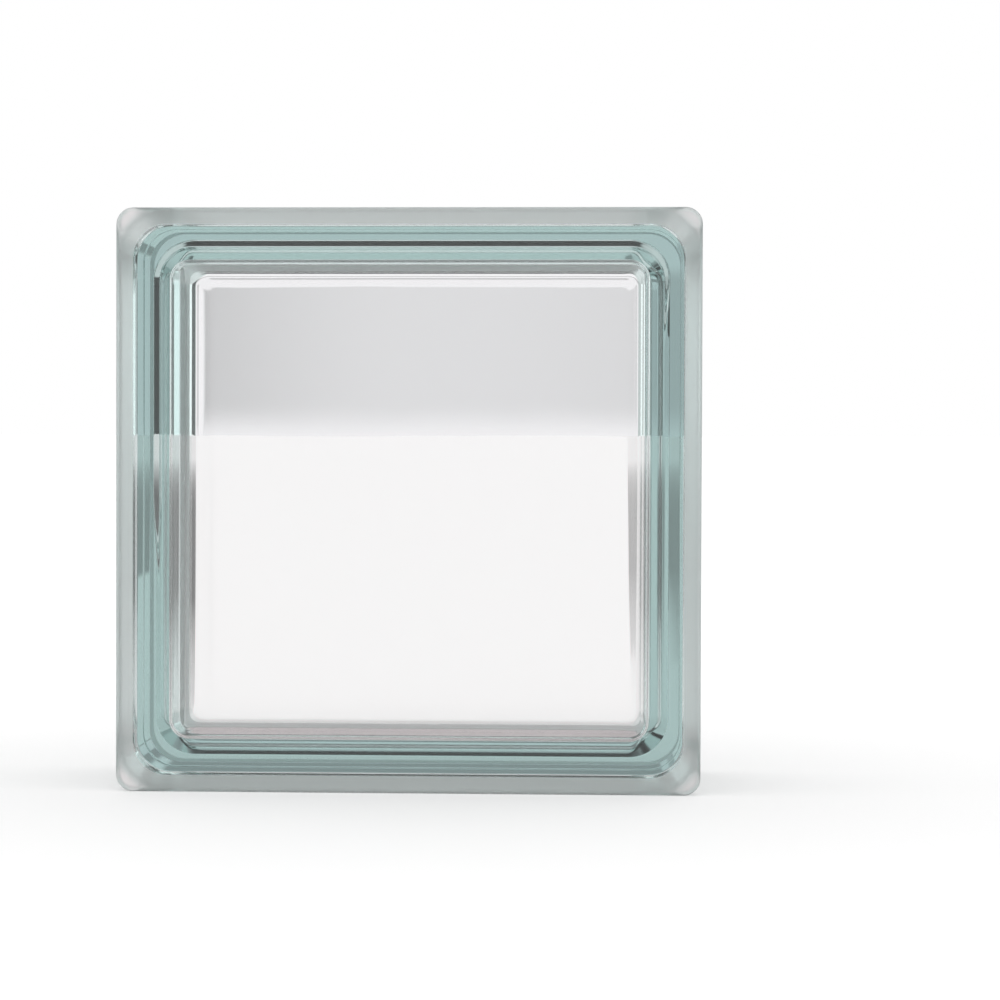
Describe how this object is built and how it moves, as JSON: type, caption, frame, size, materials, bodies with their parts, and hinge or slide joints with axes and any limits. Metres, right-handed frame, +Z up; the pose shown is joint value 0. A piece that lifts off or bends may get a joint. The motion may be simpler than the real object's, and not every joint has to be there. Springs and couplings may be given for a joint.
{
  "type": "glass block",
  "caption": "Hollow clear glass building block: pressed halves fused at mid depth, flat square faces and a recessed mortar channel round the edge.",
  "frame": {"origin": "middle of the footprint, on the level surface that the lower lips stand on", "axes": "+X along the wall that the block is built into, +Y through the wall from the front face (at -Y) to the rear face, +Z up"},
  "size_m": [0.19, 0.08, 0.19],
  "materials": {
    "clear_glass": "clear soda-lime glass with a pale green tint, polished faces and satin recessed edges"
  },
  "bodies": {
    "root": {"front_half": "clear_glass", "rear_half": "clear_glass"}
  },
  "joints": []
}
